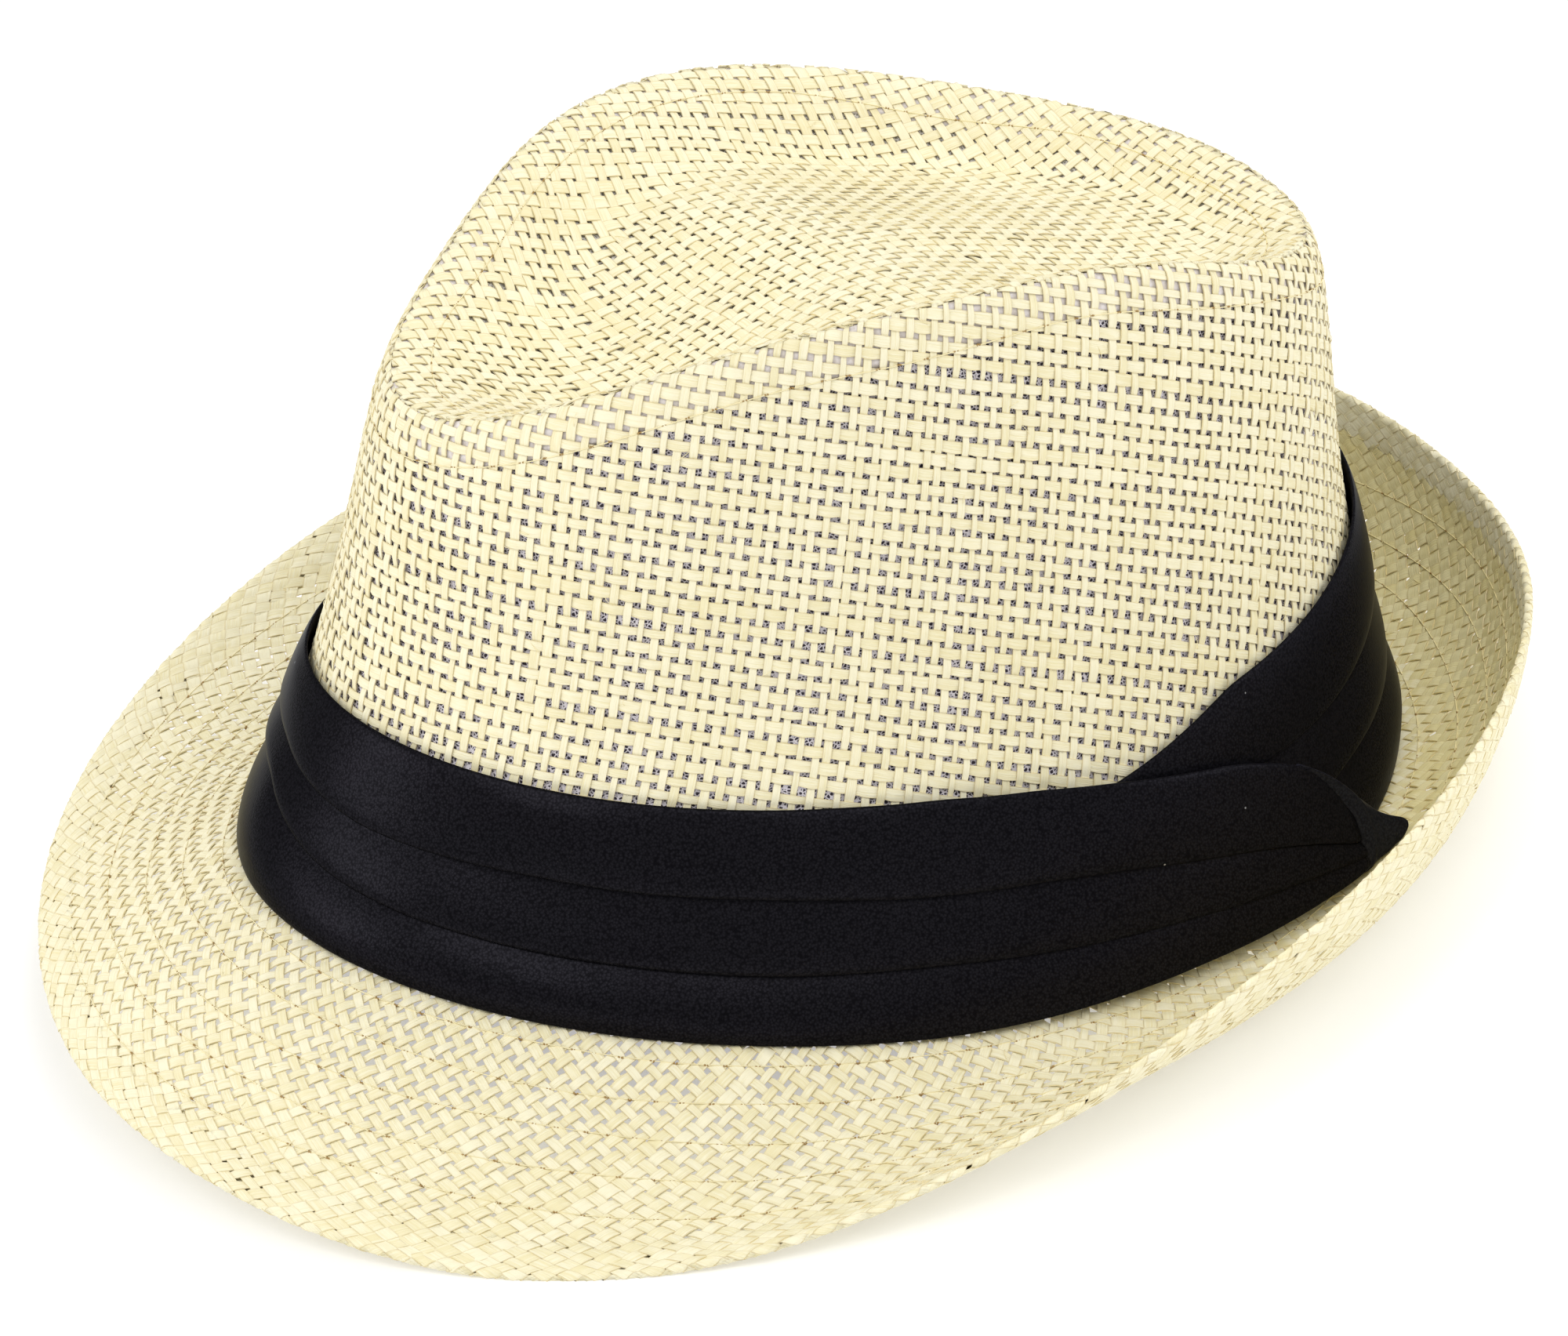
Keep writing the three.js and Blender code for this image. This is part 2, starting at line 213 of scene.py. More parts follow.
class Reach:
    """Turns a distance run along a surface from s = 0 into s."""

    TURNS, STEPS = 360, 120

    def __init__(self, surface):
        t = np.linspace(0, 2 * np.pi, self.TURNS + 1)
        s = np.linspace(0, 1, self.STEPS + 1)
        p = surface(t[:, None], s[None])
        steps = np.linalg.norm(np.diff(p, axis=1), axis=-1)
        self.run = np.concatenate([np.zeros((self.TURNS + 1, 1)), np.cumsum(steps, 1)], 1)

    def row(self, t):
        k = (np.asarray(t) % (2 * np.pi)) / (2 * np.pi) * self.TURNS
        i = np.minimum(k.astype(int), self.TURNS - 1)
        f = (k - i)[..., None]
        return self.run[i] * (1 - f) + self.run[i + 1] * f

    def full(self, t):
        return self.row(t)[..., -1]

    def at(self, t, distance):
        row = self.row(t)
        n = np.clip((row < distance[..., None]).sum(-1), 1, self.STEPS)
        low = np.take_along_axis(row, (n - 1)[..., None], -1)[..., 0]
        high = np.take_along_axis(row, n[..., None], -1)[..., 0]
        f = np.clip((distance - low) / np.maximum(high - low, 1e-9), 0, 1)
        return (n - 1 + f) / self.STEPS


UP_WALL, OVER_DENT, OVER_BRIM = Reach(wall), Reach(dent), Reach(brim)
AROUND_T = np.linspace(-2 * np.pi, 4 * np.pi, 2161)
AROUND = np.concatenate([[0], np.cumsum(np.linalg.norm(np.diff(oval(AROUND_T), axis=0), axis=1))])
AROUND -= np.interp(0, AROUND_T, AROUND)
PERIMETER = float(np.interp(2 * np.pi, AROUND_T, AROUND))


def around(t):
    """Distance run round the foot's oval from the front."""
    return np.interp(t, AROUND_T, AROUND)


def angle_at(u):
    return np.interp(u, AROUND, AROUND_T)


# ---- meshes ----
def add_mesh(name, points, faces, material, uv=None, values=None, sharp=None):
    """An object from points in the hat's plane; uv and values hold one entry a point."""
    mesh = bpy.data.meshes.new(name)
    mesh.from_pydata(settle(points).tolist(), [], faces)
    mesh.polygons.foreach_set("use_smooth", [True] * len(mesh.polygons))
    if uv is not None:
        corners = np.empty(len(mesh.loops), dtype=np.int32)
        mesh.loops.foreach_get("vertex_index", corners)
        layer = mesh.uv_layers.new(name="weave")
        layer.data.foreach_set("uv", np.asarray(uv, np.float32)[corners].ravel())
    for key, column_values in (values or {}).items():
        layer = mesh.attributes.new(key, "FLOAT", "POINT")
        layer.data.foreach_set("value", np.asarray(column_values, np.float32))
    if sharp is not None:
        ends = np.empty(2 * len(mesh.edges), dtype=np.int32)
        mesh.edges.foreach_get("vertices", ends)
        layer = mesh.attributes.new("sharp_edge", "BOOLEAN", "EDGE")
        layer.data.foreach_set("value", sharp(ends.reshape(-1, 2)))
    mesh.materials.append(material)
    mesh.update()
    thing = bpy.data.objects.new(name, mesh)
    bpy.context.scene.collection.objects.link(thing)
    return thing


def ring_quads(rings, sides, first=0, closed=False, flipped=False):
    """Quads from each ring of points to the next; closed joins the last to the first."""
    low = np.arange(rings if closed else rings - 1)[:, None] * sides
    high = (low + sides) % (rings * sides)
    a = np.arange(sides)[None]
    b = (a + 1) % sides
    quads = first + np.stack([low + a, high + a, high + b, low + b], -1).reshape(-1, 4)
    return (quads[:, [0, 3, 2, 1]] if flipped else quads).tolist()


class Ribbons:
    """Collects flat closed straws, each some points across, into one mesh."""

    def __init__(self, across):
        self.across, self.ring = across, 2 * across
        self.points, self.faces, self.uv, self.strand, self.count = [], [], [], [], 0

    def add(self, p, n, strand, thick):
        """One straw from points p and normals n, both shaped (along, across, 3)."""
        if (np.cross(p[1:, 0] - p[:-1, 0], p[:-1, -1] - p[:-1, 0]) * n[:-1, 0]).sum() < 0:
            p, n = p[:, ::-1], n[:, ::-1]
        m, ring = len(p), self.ring
        self.points.append(np.concatenate([p + n * thick / 2, (p - n * thick / 2)[:, ::-1]], 1))
        middle = p.mean(1)
        run = np.concatenate([[0], np.cumsum(np.linalg.norm(np.diff(middle, axis=0), axis=1))])
        across = np.linspace(-1, 1, self.across)
        across = np.concatenate([across, across[::-1]])
        self.uv.append(np.stack([np.repeat(run, ring), np.tile(across, m)], -1))
        self.strand.append(np.full(m * ring, strand))
        self.faces += ring_quads(m, ring, self.count)
        last = self.count + (m - 1) * ring
        self.faces.append([self.count + i for i in range(ring)])
        self.faces.append([last + i for i in reversed(range(ring))])
        self.count += m * ring

    def build(self, name, material):
        def sharp(ends):
            """The long edges of every straw's two sides."""
            step = np.abs(ends[:, 0] - ends[:, 1])
            place = ends.min(1) % self.ring
            side = (place % self.across == 0) | (place % self.across == self.across - 1)
            return (step == self.ring) & side

        points = np.concatenate([q.reshape(-1, 3) for q in self.points])
        return add_mesh(
            name, points, self.faces, material,
            uv=np.concatenate(self.uv), values={"strand": np.concatenate(self.strand)}, sharp=sharp,
        )


PLATEAU = 0.22             # share of a pitch over which a straw stays on top or underneath
BOW = 0.17                 # how far a straw rises and dips where it crosses others
STRAW_THICK = 0.22
# where a straw is sampled near each crossing, as shares of the pitch
COARSE = (-PLATEAU, PLATEAU)
FINE = (-0.42, -PLATEAU, 0.0, PLATEAU, 0.42)
# how uneven the straws are: their place, as shares of the pitch, and their width, as
# shares of itself, from straw to straw and along each one
PLACE_SCATTER, PLACE_DRIFT = 0.05, 0.055
WIDTH_SCATTER, WIDTH_DRIFT = 0.11, 0.09
OVER_WIDER = 0.05          # a straw is this much wider on top, and narrower underneath
TWIST = 0.05               # how far its edges rise and dip, in millimetres


def drift(c, phase, *lengths):
    """Smooth noise along a straw, the same however finely it is sampled."""
    total = 0
    for k, length in enumerate(lengths):
        total = total + np.sin(c / length + phase[:, k : k + 1])
    return total / len(lengths) ** 0.5


def weave(ribbons, place, strands, crossings, swap, half, parity, seed, samples=COARSE, bow=BOW):
    """Adds one family of straws.

    strands are the straws' own numbers and crossings, one row a straw, the numbers of
    the straws that each meets. half is a straw's half width as a share of the pitch."""
    rng = np.random.default_rng(seed)
    strands = np.asarray(strands, float)
    count = len(strands)
    whole = np.repeat(crossings, len(samples), axis=1)
    c = whole + np.tile(samples, crossings.shape[1])
    phase = rng.uniform(0, 2 * np.pi, (count, 8))
    own = strands[:, None] + rng.normal(0, PLACE_SCATTER, (count, 1))
    own = own + PLACE_DRIFT * drift(c, phase, 7.0, 2.7)

    def at(rule, a, b):
        return rule(b, a) if swap else rule(a, b)

    share = at(half, own, c) if callable(half) else half
    fat = 1 + rng.normal(0, WIDTH_SCATTER, (count, 1))
    fat = fat + WIDTH_DRIFT * drift(c, phase[:, 2:], 4.3, 1.9, 11.0)
    over = np.where((whole + strands.astype(int)[:, None] + parity) % 2 == 0, 1.0, -1.0)
    share = share * fat * (1 + OVER_WIDER * over)
    rise = np.clip((0.5 - np.abs(c - whole)) / (0.5 - PLATEAU), 0, 1) * over * bow
    inside = at(place, own, c)[2]
    grown = inside.copy()
    grown[:, 1:] |= inside[:, :-1]
    grown[:, :-1] |= inside[:, 1:]
    lanes = np.linspace(-1, 1, ribbons.across)
    spread = own[..., None] + share[..., None] * lanes
    p, n, _ = at(place, spread, np.repeat(c[..., None], ribbons.across, -1))
    tilt = TWIST * drift(c, phase[:, 5:], 3.3, 1.1)[..., None] * lanes
    p = p + n * (rise[..., None] + tilt)[..., None]
    shades = rng.uniform(size=count)
    for k in range(count):
        for a, b in stretches(grown[k]):
            if b - a >= 3:
                ribbons.add(p[k, a:b], n[k, a:b], shades[k], STRAW_THICK)


def stretches(inside):
    """Start and end of every run of True."""
    edges = np.flatnonzero(np.diff(np.concatenate([[0], inside.astype(int), [0]])))
    return edges.reshape(-1, 2)


def straight(a, b):
    """Both arrays as floats of one shape."""
    return np.broadcast_arrays(np.asarray(a, float), np.asarray(b, float))


# ---- where the straws of each cloth run ----
CLOTH_MIDDLE = 0.45        # depth of the cloth's middle below the hat's outer face
# crown side: flat cloth rolled into a cone, straight grain, joined behind
CONE_RADIUS = 395.0
GRAIN_FRONT = math.radians(18)
ROW_PITCH, COLUMN_PITCH = 2.68, 2.52
FOOT_SLANT = 1.03
SIDE_FROM_BAND = 0.70      # the cloth is made from this share of the band's height up
COLUMN_LEAN = math.tan(math.radians(9))
LEAN_ABOUT = 35.0          # the height at which a leaning column keeps its place
UPRIGHT_TO, LEAN_OVER = 30.0, 90.0  # columns are upright this near the front, then lean
SIDE_SEAM = 0.2            # the cloth stops this far below the ridge


def side_place(i, j):
    i, j = straight(i, j)
    x, y = i * COLUMN_PITCH, j * ROW_PITCH
    lean = COLUMN_LEAN * smooth((np.abs(x) - UPRIGHT_TO) / LEAN_OVER)
    x = x - (y - LEAN_ABOUT) * lean * np.sign(x)
    rho = np.hypot(x, CONE_RADIUS - y)
    turn = np.arctan2(x, CONE_RADIUS - y) * CONE_RADIUS
    t = angle_at(around(GRAIN_FRONT) + turn)
    up = CONE_RADIUS - rho - FOOT_SLANT * foot_z(t)
    s = UP_WALL.at(t, up)
    low = BAND_SHARE * SIDE_FROM_BAND
    inside = (np.abs(turn) < PERIMETER / 2) & (s > low) & (up < UP_WALL.full(t) - SIDE_SEAM)
    n = normal(wall, OUT_OF_WALL, t, s)
    return wall(t, s) - n * CLOTH_MIDDLE, n, inside


# crown top: flat cloth with its grain along the head, pressed into the dent
TOP_PITCH = 2.46
TOP_GRAIN = (math.radians(-3), math.radians(95))
TOP_SEAM = 0.6             # and the top's cloth stops this far inside it
DIRECTION_T = np.linspace(-np.pi, np.pi, 721)
RIDGE_LINE = ridge(DIRECTION_T) - CENTRE
DIRECTION = np.unwrap(np.arctan2(RIDGE_LINE[:, 0], -RIDGE_LINE[:, 1]))


def top_place(i, j):
    i, j = straight(i, j)
    (c1, s1), (c2, s2) = [(math.cos(a), math.sin(a)) for a in TOP_GRAIN]
    det = (c1 * s2 - s1 * c2) / TOP_PITCH
    x = (i * s2 - j * s1) / det
    y = (j * c1 - i * c2) / det
    t = np.interp(np.arctan2(x, -y), DIRECTION, DIRECTION_T)
    out = np.hypot(x, y)
    q = OVER_DENT.at(t, out)
    n = normal(dent, OUT_OF_DENT, t, np.clip(q, 0.01, 0.999))
    return dent(t, q) - n * CLOTH_MIDDLE, n, out < OVER_DENT.full(t) - TOP_SEAM


# brim: a bias-cut strip bent into a ring and folded over at the rim
STRAWS_A, STRAWS_B = 210, 166
BIAS_TURN = math.radians(8)       # how far the strip's grain is off a true bias
BIAS_FOOT = 0.6175                # cosine of the straws' half angle at the crown
SPREAD, MOST_SPREAD = 0.0095, 1.38  # how fast the ring widens outwards, and the most
FOLD_RADIUS, FOLD_BACK = 0.5, 6.5  # the rim's fold, and how far its cloth comes back
TUCK = 0.15                       # how far the brim's cloth dips under the fold
MARGIN = 5.0                      # cloth that runs in under the crown
RUN_OUT = np.linspace(-12, 70, 657)
WIDENING = np.minimum(1 + SPREAD * RUN_OUT, MOST_SPREAD)
HALF_ANGLE = np.arccos(np.clip(BIAS_FOOT * WIDENING, 0, 0.9))


def bias_phase(straws, turn):
    rate = straws / PERIMETER / WIDENING / np.tan(HALF_ANGLE + turn)
    run = np.concatenate([[0], np.cumsum((rate[1:] + rate[:-1]) / 2 * np.diff(RUN_OUT))])
    return run - np.interp(0, RUN_OUT, run)


PHASE_A, PHASE_B = bias_phase(STRAWS_A, BIAS_TURN), bias_phase(STRAWS_B, -BIAS_TURN)
RIM_AT = 0.849                    # where the brim cloth becomes the folded rim


def brim_where(i, j):
    """Angle and distance out from the crown where straws i and j cross."""
    i, j = straight(i, j)
    both = PHASE_A * STRAWS_B / STRAWS_A + PHASE_B
    w = np.interp(i * STRAWS_B / STRAWS_A - j, both, RUN_OUT, left=-99, right=999)
    u = (i - np.interp(w, RUN_OUT, PHASE_A)) / STRAWS_A * PERIMETER
    return angle_at(u), w


def brim_place(i, j, rim):
    """rim False gives the brim's cloth, rim True the fold."""
    t, w = brim_where(i, j)
    full = OVER_BRIM.full(t)
    over = w - full                                   # how far past the edge
    nose = math.pi * FOLD_RADIUS
    back = np.clip(over - nose, 0, None)
    reach = np.where(over > 0, full - back, np.maximum(w, 0))
    s = OVER_BRIM.at(t, reach)
    n = normal(brim, OUT_OF_BRIM, t, s)
    out = unit(brim(t, s) - brim(t, s - 0.02))
    turn = np.pi * np.clip(over / nose, 0, 1)
    proud = FOLD_RADIUS * smooth((over + 8) / 4)
    depth = np.where(over > 0, -CLOTH_MIDDLE + FOLD_RADIUS * np.cos(turn), proud - CLOTH_MIDDLE)
    p = brim(t, s) + n * depth[..., None]
    pull = np.where(over > 0, np.sin(turn) - 1, -smooth((over + 3) / 3))
    p = p + out * (FOLD_RADIUS * pull)[..., None]
    p = p - outward(t) * np.maximum(-w, 0)[..., None]
    n = n * np.cos(turn)[..., None] + out * np.sin(turn)[..., None]
    rim_from = RIM_AT * full
    if rim:
        return p, n, (w >= rim_from) & (back < FOLD_BACK) & (w < 900)
    tuck = TUCK * smooth(w - rim_from + 1)
    return p - n * tuck[..., None], n, (w > -MARGIN) & (w < rim_from)


BRIM_STITCHES = [3.7 + 7.45 * k for k in range(5)]  # distances out from the crown
# half widths of the brim's straws as shares of the pitch: at the crown, and what is
# added towards the rim, on the rim, at the back and along a row of stitches
BRIM_HALF, HALF_OUT, HALF_RIM, HALF_BACK, HALF_STITCH = 0.302, 0.085, 0.08, 0.13, 0.03
BACK_MIDDLE = 2.6                 # the angle about which the back's straws are widest
STITCH_PULL = 1.2                 # how far from a row its pull is felt
TOUCHING, LAPPED = 0.5, 0.012     # straws that touch, and the lap allowed at the back


def brim_half(i, j):
    """The straws widen towards the rim, at the back, and where stitches draw them together."""
    t, w = brim_where(i, j)
    share = BRIM_HALF + HALF_OUT * smooth((w - 16) / 18)
    share = share + HALF_RIM * smooth((w - OVER_BRIM.full(t) + 9) / 5)
    back = smooth((0.25 - np.cos(t - BACK_MIDDLE)) / -0.6)
    share = share + HALF_BACK * back
    for row in BRIM_STITCHES:
        share = share + HALF_STITCH * np.exp(-(((w - row) / STITCH_PULL) ** 2))
    return np.minimum(share, TOUCHING + LAPPED * back)


# ---- materials ----
class Recipe:
    """A material in the making."""

    def __init__(self, name):
        self.made = bpy.data.materials.new(name)
        self.made.use_nodes = True
        self.shader = self.made.node_tree.nodes["Principled BSDF"]

    def feed(self, node, inputs):
        """Links sockets to a node's inputs, or sets constants on them."""
        for key, value in inputs.items():
            if isinstance(value, bpy.types.NodeSocket):
                self.made.node_tree.links.new(value, node.inputs[key])
            else:
                node.inputs[key].default_value = value
        return node

    def node(self, kind, inputs):
        return self.feed(self.made.node_tree.nodes.new("ShaderNode" + kind), inputs)

    def place(self, kind="Object"):
        """The point on the piece, in the piece's own space, or its normal."""
        return self.node("TexCoord", {}).outputs[kind]

    def attribute(self, name):
        made = self.node("Attribute", {})
        made.attribute_name = name
        return made

    def maths(self, operation, *values):
        made = self.node("Math", {})
        made.operation = operation
        return self.feed(made, dict(enumerate(values))).outputs[0]

    def vectors(self, operation, *values):
        made = self.node("VectorMath", {})
        made.operation = operation
        return self.feed(made, dict(enumerate(values)))

    def ramp(self, fac, low, low_colour, high, high_colour):
        made = self.node("ValToRGB", {"Fac": fac})
        first, second = made.color_ramp.elements
        first.position, first.color = low, (*low_colour, 1)
        second.position, second.color = high, (*high_colour, 1)
        return made.outputs["Color"]

    def mix(self, share, colour, other, blend="MIX"):
        """The colour socket mixed by share with another, constant colour."""
        made = self.node("Mix", {})
        made.data_type = "RGBA"
        made.blend_type = blend
        return self.feed(made, {0: share, 6: colour, 7: (*other, 1)}).outputs[2]

    def finish(self, colour, height, strength, depth, roughness, specular):
        """Sets colour, bump (depth in metres) and shine, and gives the material."""
        bump = self.node("Bump", {"Strength": strength, "Distance": depth, "Height": height})
        self.feed(self.shader, {
            "Base Color": colour, "Normal": bump.outputs["Normal"],
            "Roughness": roughness, "Specular IOR Level": specular,
        })
        return self.made


PAINTED_WARM_SHADE = (1.0, 0.955, 0.73)          # what the straw's colour is multiplied by where the painted warm shade lies
PAINTED_WARM_SHADE_TOWARDS = (0.5, 0.866, 0)     # the way to the painted warm shade: behind and to the left
# where that painted shade starts and is full: metres that way, and how far a face is turned that
# way
PAINTED_WARM_SHADE_SPAN = [("Object", 0.045, 0.085), ("Normal", 0.1, -0.25)]


def paint_warm_shade(m, colour):
    """The colour warmed and darkened on the slope that faces the crown, behind and to the left:
    painted shade for the crown's shadow and the warm light bounced there.
    """
    shares = []
    for kind, start, end in PAINTED_WARM_SHADE_SPAN:
        along = m.vectors("DOT_PRODUCT", m.place(kind), PAINTED_WARM_SHADE_TOWARDS).outputs["Value"]
        share = m.node("MapRange", {"Value": along, "From Min": start, "From Max": end})
        share.interpolation_type = "SMOOTHSTEP"
        shares.append(share.outputs["Result"])
    return m.mix(m.maths("MULTIPLY", *shares), colour, PAINTED_WARM_SHADE, "MULTIPLY")


def straw_material(name, pale, deep, edge, edge_brown_and_shade, painted_shade_back=False):
    """Flat paper straw: fibres along it, each straw its own tone, and browner, darker edges that
    are partly the straw's own colour and partly painted contact shade where straws meet.
    """
    m = Recipe(name)
    uv = m.node("UVMap", {})
    uv.uv_map = "weave"
    strand = m.attribute("strand")
    place = m.vectors("MULTIPLY_ADD", strand.outputs["Vector"], (53, 0, 91), uv.outputs[0])

    def noise(along, across, detail):
        scale = (along, across, 1)
        stretched = m.node("Mapping", {"Vector": place.outputs[0], "Scale": scale}).outputs[0]
        made = m.node("TexNoise", {"Vector": stretched, "Scale": 1.0, "Detail": detail})
        return made.outputs["Fac"]

    fibre = noise(0.16, 5.0, 4)
    patch = noise(0.5, 0.7, 1)
    tone = m.maths("MULTIPLY_ADD", strand.outputs["Fac"], 0.26, fibre)
    tone = m.maths("MULTIPLY_ADD", patch, 0.25, tone)
    shown = m.ramp(tone, 0.56, deep, 0.86, pale)
    # darker, browner edges: partly the straw's own edge colour, partly painted contact shade
    across = m.node("SeparateXYZ", {0: uv.outputs[0]}).outputs["Y"]
    reach = m.maths("MULTIPLY_ADD", patch, 0.20, m.maths("ABSOLUTE", across))
    rim = m.ramp(reach, 0.96, (0, 0, 0), 1.10, (1, 1, 1))
    shown = m.mix(m.maths("MULTIPLY", rim, edge_brown_and_shade), shown, edge)
    # painted warm shade on the brim's back slope, not the straw's own colour
    if painted_shade_back:
        shown = paint_warm_shade(m, shown)
    return m.finish(shown, fibre, 0.55, 0.0002, 0.55, 0.18)


def net_material(name, dark, pale):
    """Fine net as a solid sheet: pale threads, and between them painted shade that stands for the
    dark inside of the hat seen through the holes.
    """
    m = Recipe(name)
    cells = m.node("TexVoronoi", {"Vector": m.place(), "Scale": 1700})
    cells.feature = "DISTANCE_TO_EDGE"
    net = m.ramp(cells.outputs["Distance"], 0.09, pale, 0.21, dark)
    return m.finish(net, net, 0.4, 0.0001, 0.85, 0.1)


LINT, LINT_SIZE = (0.30, 0.30, 0.33), 0.024


def satin_material(name, pale, dark):
    """Black satin: a soft sheen over a very fine knit, with specks of lint."""
    m = Recipe(name)
    knit = m.node("TexVoronoi", {"Vector": m.place(), "Scale": 2300}).outputs["Distance"]
    lint = m.node("TexVoronoi", {"Vector": m.place(), "Scale": 120}).outputs["Distance"]
    speck = m.maths("LESS_THAN", lint, LINT_SIZE)
    colour = m.mix(speck, m.ramp(knit, 0.1, pale, 0.75, dark), LINT)
    m.feed(m.shader, {"Metallic": 0.5, "Specular Tint": (0.42, 0.42, 0.42, 1)})
    return m.finish(colour, knit, 0.4, 0.00006, 0.32, 0.016)


def flecked_material(name, colour, other):
    """Plain tape with a little grain in its colour and its surface."""
    m = Recipe(name)
    grain = m.node("TexNoise", {"Vector": m.place(), "Scale": 900}).outputs["Fac"]
    shown = m.ramp(grain, 0.35, other, 0.65, colour)
    return m.finish(shown, grain, 0.3, 0.0001, 0.9, 0.15)


def thread_material(name, pale, dark):
    """Straw-coloured thread, dark where it dips into the cloth, with the same painted warm shade as
    the brim's back slope.
    """
    m = Recipe(name)
    twist = m.node("TexNoise", {"Vector": m.place(), "Scale": 2500}).outputs["Fac"]
    tone = m.maths("MULTIPLY_ADD", twist, 0.5, m.attribute("dip").outputs["Fac"])
    shown = paint_warm_shade(m, m.ramp(tone, 0.35, pale, 0.75, dark))
    return m.finish(shown, twist, 0.3, 0.0001, 0.6, 0.15)


# the third colour browns the straws' edges: partly their own colour, partly painted contact shade
# where straws meet
PALE, DEEP, EDGE = (0.915, 0.86, 0.63), (0.84, 0.76, 0.47), (0.60, 0.47, 0.24)
STRAW = straw_material("paper_straw", PALE, DEEP, EDGE, 0.42)
# the brim's straw also carries painted warm shade on its back slope
BRIM_STRAW = straw_material("brim_straw", PALE, DEEP, EDGE, 0.40, True)
# the nets' dark colours are painted shade, the hat's shaded inside seen through the holes; the
# top's painted shade is lighter
NET = net_material("net_lining", (0.06, 0.05, 0.07), (0.95, 0.91, 1.0))
NET_TOP = net_material("net_lining_top", (0.36, 0.33, 0.27), (0.93, 0.90, 0.86))
SATIN = satin_material("black_satin", (0.0165, 0.0158, 0.0198), (0.0060, 0.0057, 0.0073))
# the wrap's satin is the band's satin made lighter and bluer: painted sheen, so the wrap's edge
# shows against the band
SATIN_PAINTED_SHEEN = satin_material("black_satin_painted_sheen", (0.027, 0.028, 0.038), (0.012, 0.0125, 0.018))
SEAM = flecked_material("seam_backing", (0.90, 0.86, 0.88), (0.72, 0.66, 0.62))
THREAD = thread_material("sewing_thread", (0.86, 0.77, 0.48), (0.40, 0.26, 0.10))


# ---- the pieces ----
def finish_piece(piece, slot, *nodes):
    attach(piece, "root")
    if nodes:
        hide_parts(*nodes)
    return piece


def crossed_straws(node, names, place, numbers, halves, seed):
    """Two families of straight straws; numbers holds the range of each one's numbers."""
    for k in (0, 1):
        family, straws = Ribbons(2), np.arange(*numbers[k])
        crossings = np.repeat(np.arange(*numbers[1 - k])[None], len(straws), axis=0)
        weave(family, place, straws, crossings, k == 1, halves[k], k, seed + k)
        finish_piece(family.build(f"{node}_{names[k]}", STRAW), "straw", node)


# more straws than the pieces need, because what falls outside a cloth is left out
MOST_COLUMNS = int(PERIMETER / 2 / COLUMN_PITCH) + 13
SIDE_ROWS, TOP_STRAWS = (-30, 70), (-48, 49)
SIDE_HALVES, TOP_HALVES = (0.275, 0.315), (0.35, 0.355)  # half widths, shares of the pitch


def crown_side():
    """Straight columns and straight rows of the crown's side."""
    numbers = (-MOST_COLUMNS, MOST_COLUMNS), SIDE_ROWS
    crossed_straws("crown_side", ("columns", "rows"), side_place, numbers, SIDE_HALVES, 11)


def crown_top():
    """Straws of the dented top, along and across the head."""
    numbers = TOP_STRAWS, TOP_STRAWS
    crossed_straws("crown_top", ("along", "across"), top_place, numbers, TOP_HALVES, 21)


# the brim's cloth and its folded rim: piece, CAD node, points across a straw, samples
# at a crossing, how far straws rise and dip, material, and the run out that is woven
BRIM_PART = ("brim_weave", "brim", 2, COARSE, 0.22, BRIM_STRAW, (-8, 45))
RIM_PART = ("rim_fold", "brim_edge", 3, FINE, 0.115, STRAW, (28, 68))


def brim_cloth(rim):
    """One family of straws climbs with the angle, the other falls with it."""
    name, node, across, samples, bow, straw, run = RIM_PART if rim else BRIM_PART
    ratio = STRAWS_B / STRAWS_A
    both = PHASE_A * ratio + PHASE_B
    low, high = np.interp(run, RUN_OUT, both)
    climbing, falling = np.arange(STRAWS_A), np.arange(STRAWS_B)
    met = np.floor(climbing * ratio).astype(int)[:, None]
    met = met + np.arange(-int(high) - 3, -int(low) + 4)
    meeting = np.floor(falling / ratio).astype(int)[:, None]
    meeting = meeting + np.arange(int(low / ratio) - 4, int(high / ratio) + 5)

    def place(i, j):
        return brim_place(i, j, rim)

    a, b = Ribbons(across), Ribbons(across)
    weave(a, place, climbing, met, False, brim_half, 0, 31, samples, bow)
    weave(b, place, falling, meeting, True, brim_half, 1, 32, samples, bow)
    finish_piece(a.build(f"{name}_climbing", straw), "straw", node)
    finish_piece(b.build(f"{name}_falling", straw), "straw", node)


def closed_sheet(name, outer, inner, material):
    """A closed skin from two grids of points, joined at their first and last rows.

    Rows run along the second axis; the first axis goes all the way round."""
    n, m = outer.shape[:2]
    points = np.concatenate([outer, inner[:, ::-1]], 1)
    faces = ring_quads(n, 2 * m, closed=True)
    return add_mesh(name, points.reshape(-1, 3), faces, material)


def up_and_around(grid):
    """The longest way up and the longest way round a ring of points, in metres."""
    closed = np.concatenate([grid, grid[:1]])
    girth = np.linalg.norm(np.diff(closed, axis=0), axis=-1).sum(0).max()
    height = np.linalg.norm(np.diff(grid, axis=1), axis=-1).sum(1).max()
    return float(height) / 1000, float(girth) / 1000


def over_the_middle(grid):
    """The way over a dented ring of points, from side to side and from front to back
    through its middle, in metres."""
    down = np.linalg.norm(np.diff(grid, axis=1), axis=-1).sum(1)
    quarter = len(grid) // 4
    ways = []
    for start in (quarter, 0):
        end = start + 2 * quarter
        between = np.linalg.norm(grid[start, -1] - grid[end, -1])
        ways.append(float(down[start] + down[end] + between) / 1000)
    return tuple(ways)


